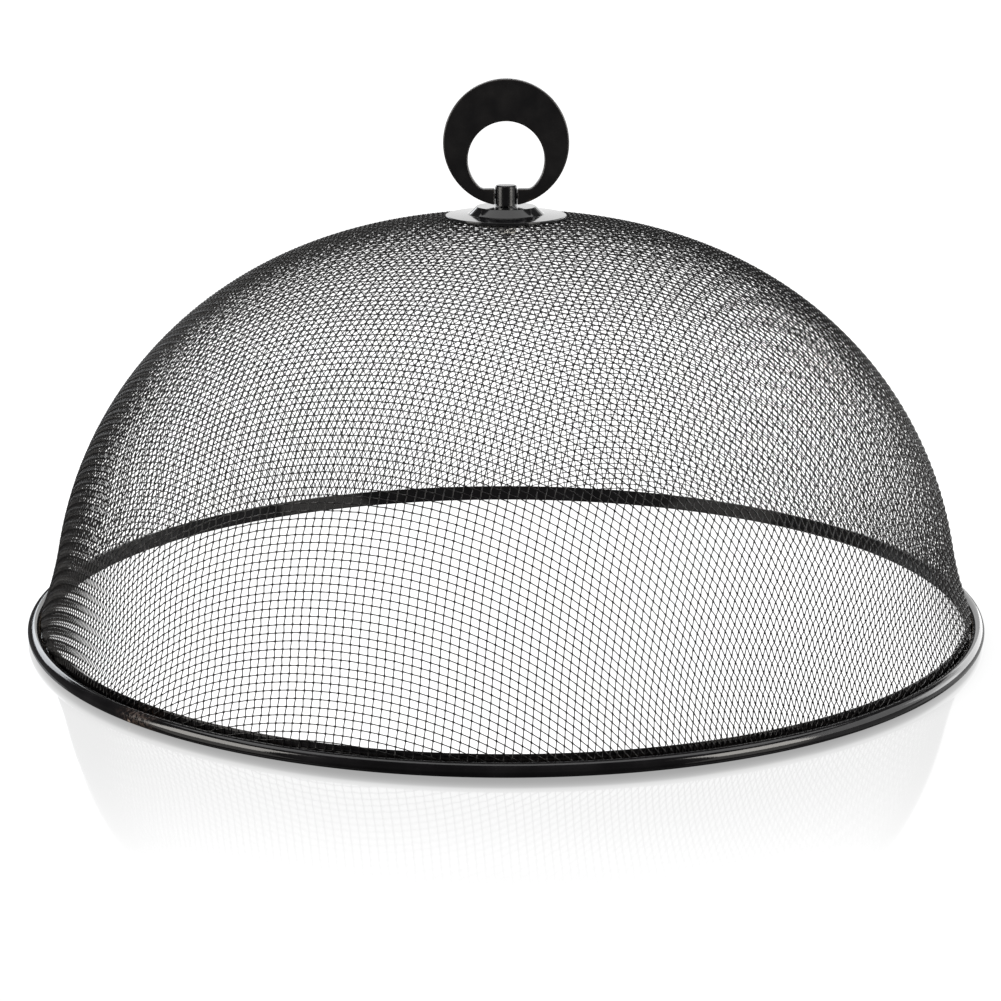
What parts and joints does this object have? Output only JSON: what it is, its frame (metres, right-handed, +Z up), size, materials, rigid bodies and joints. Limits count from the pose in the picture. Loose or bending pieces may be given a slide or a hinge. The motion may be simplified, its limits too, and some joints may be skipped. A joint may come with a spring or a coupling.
{
  "type": "metal mesh food cover",
  "caption": "Round domed food cover of black woven wire mesh in a rolled steel rim, with a hat-shaped top plate and a fold-down ring handle on a short stem.",
  "frame": {"origin": "centre of the circle on which the rim rests, on the surface that the cover stands on", "axes": "+Z up along the dome's axis, X along the handle's hinge pin, so that the upright ring's flat faces look along Y; the front of the picture is -Y"},
  "size_m": [0.35, 0.35, 0.1968],
  "materials": {
    "rim_enamel": "gloss black enamel",
    "mesh_paint": "satin black powder coat on woven steel wire",
    "plate_enamel": "high gloss black enamel",
    "stem_enamel": "gloss black enamel",
    "handle_black": "satin black moulding",
    "zinc_plate": "bright zinc plate"
  },
  "bodies": {
    "cover": {"rim": "rim_enamel", "mesh_dome": "mesh_paint", "top_plate": "plate_enamel", "stem": "stem_enamel", "backing_washer": "zinc_plate", "nut": "zinc_plate"},
    "handle": {"ring_handle": "handle_black", "hinge_pin": "zinc_plate"}
  },
  "joints": [
    {"name": "handle_fold", "type": "hinge", "parent": "cover", "child": "handle", "pos_m": [0, 0, 0.15532], "axis": [1, 0, 0], "range_deg": [-98, 98]}
  ]
}
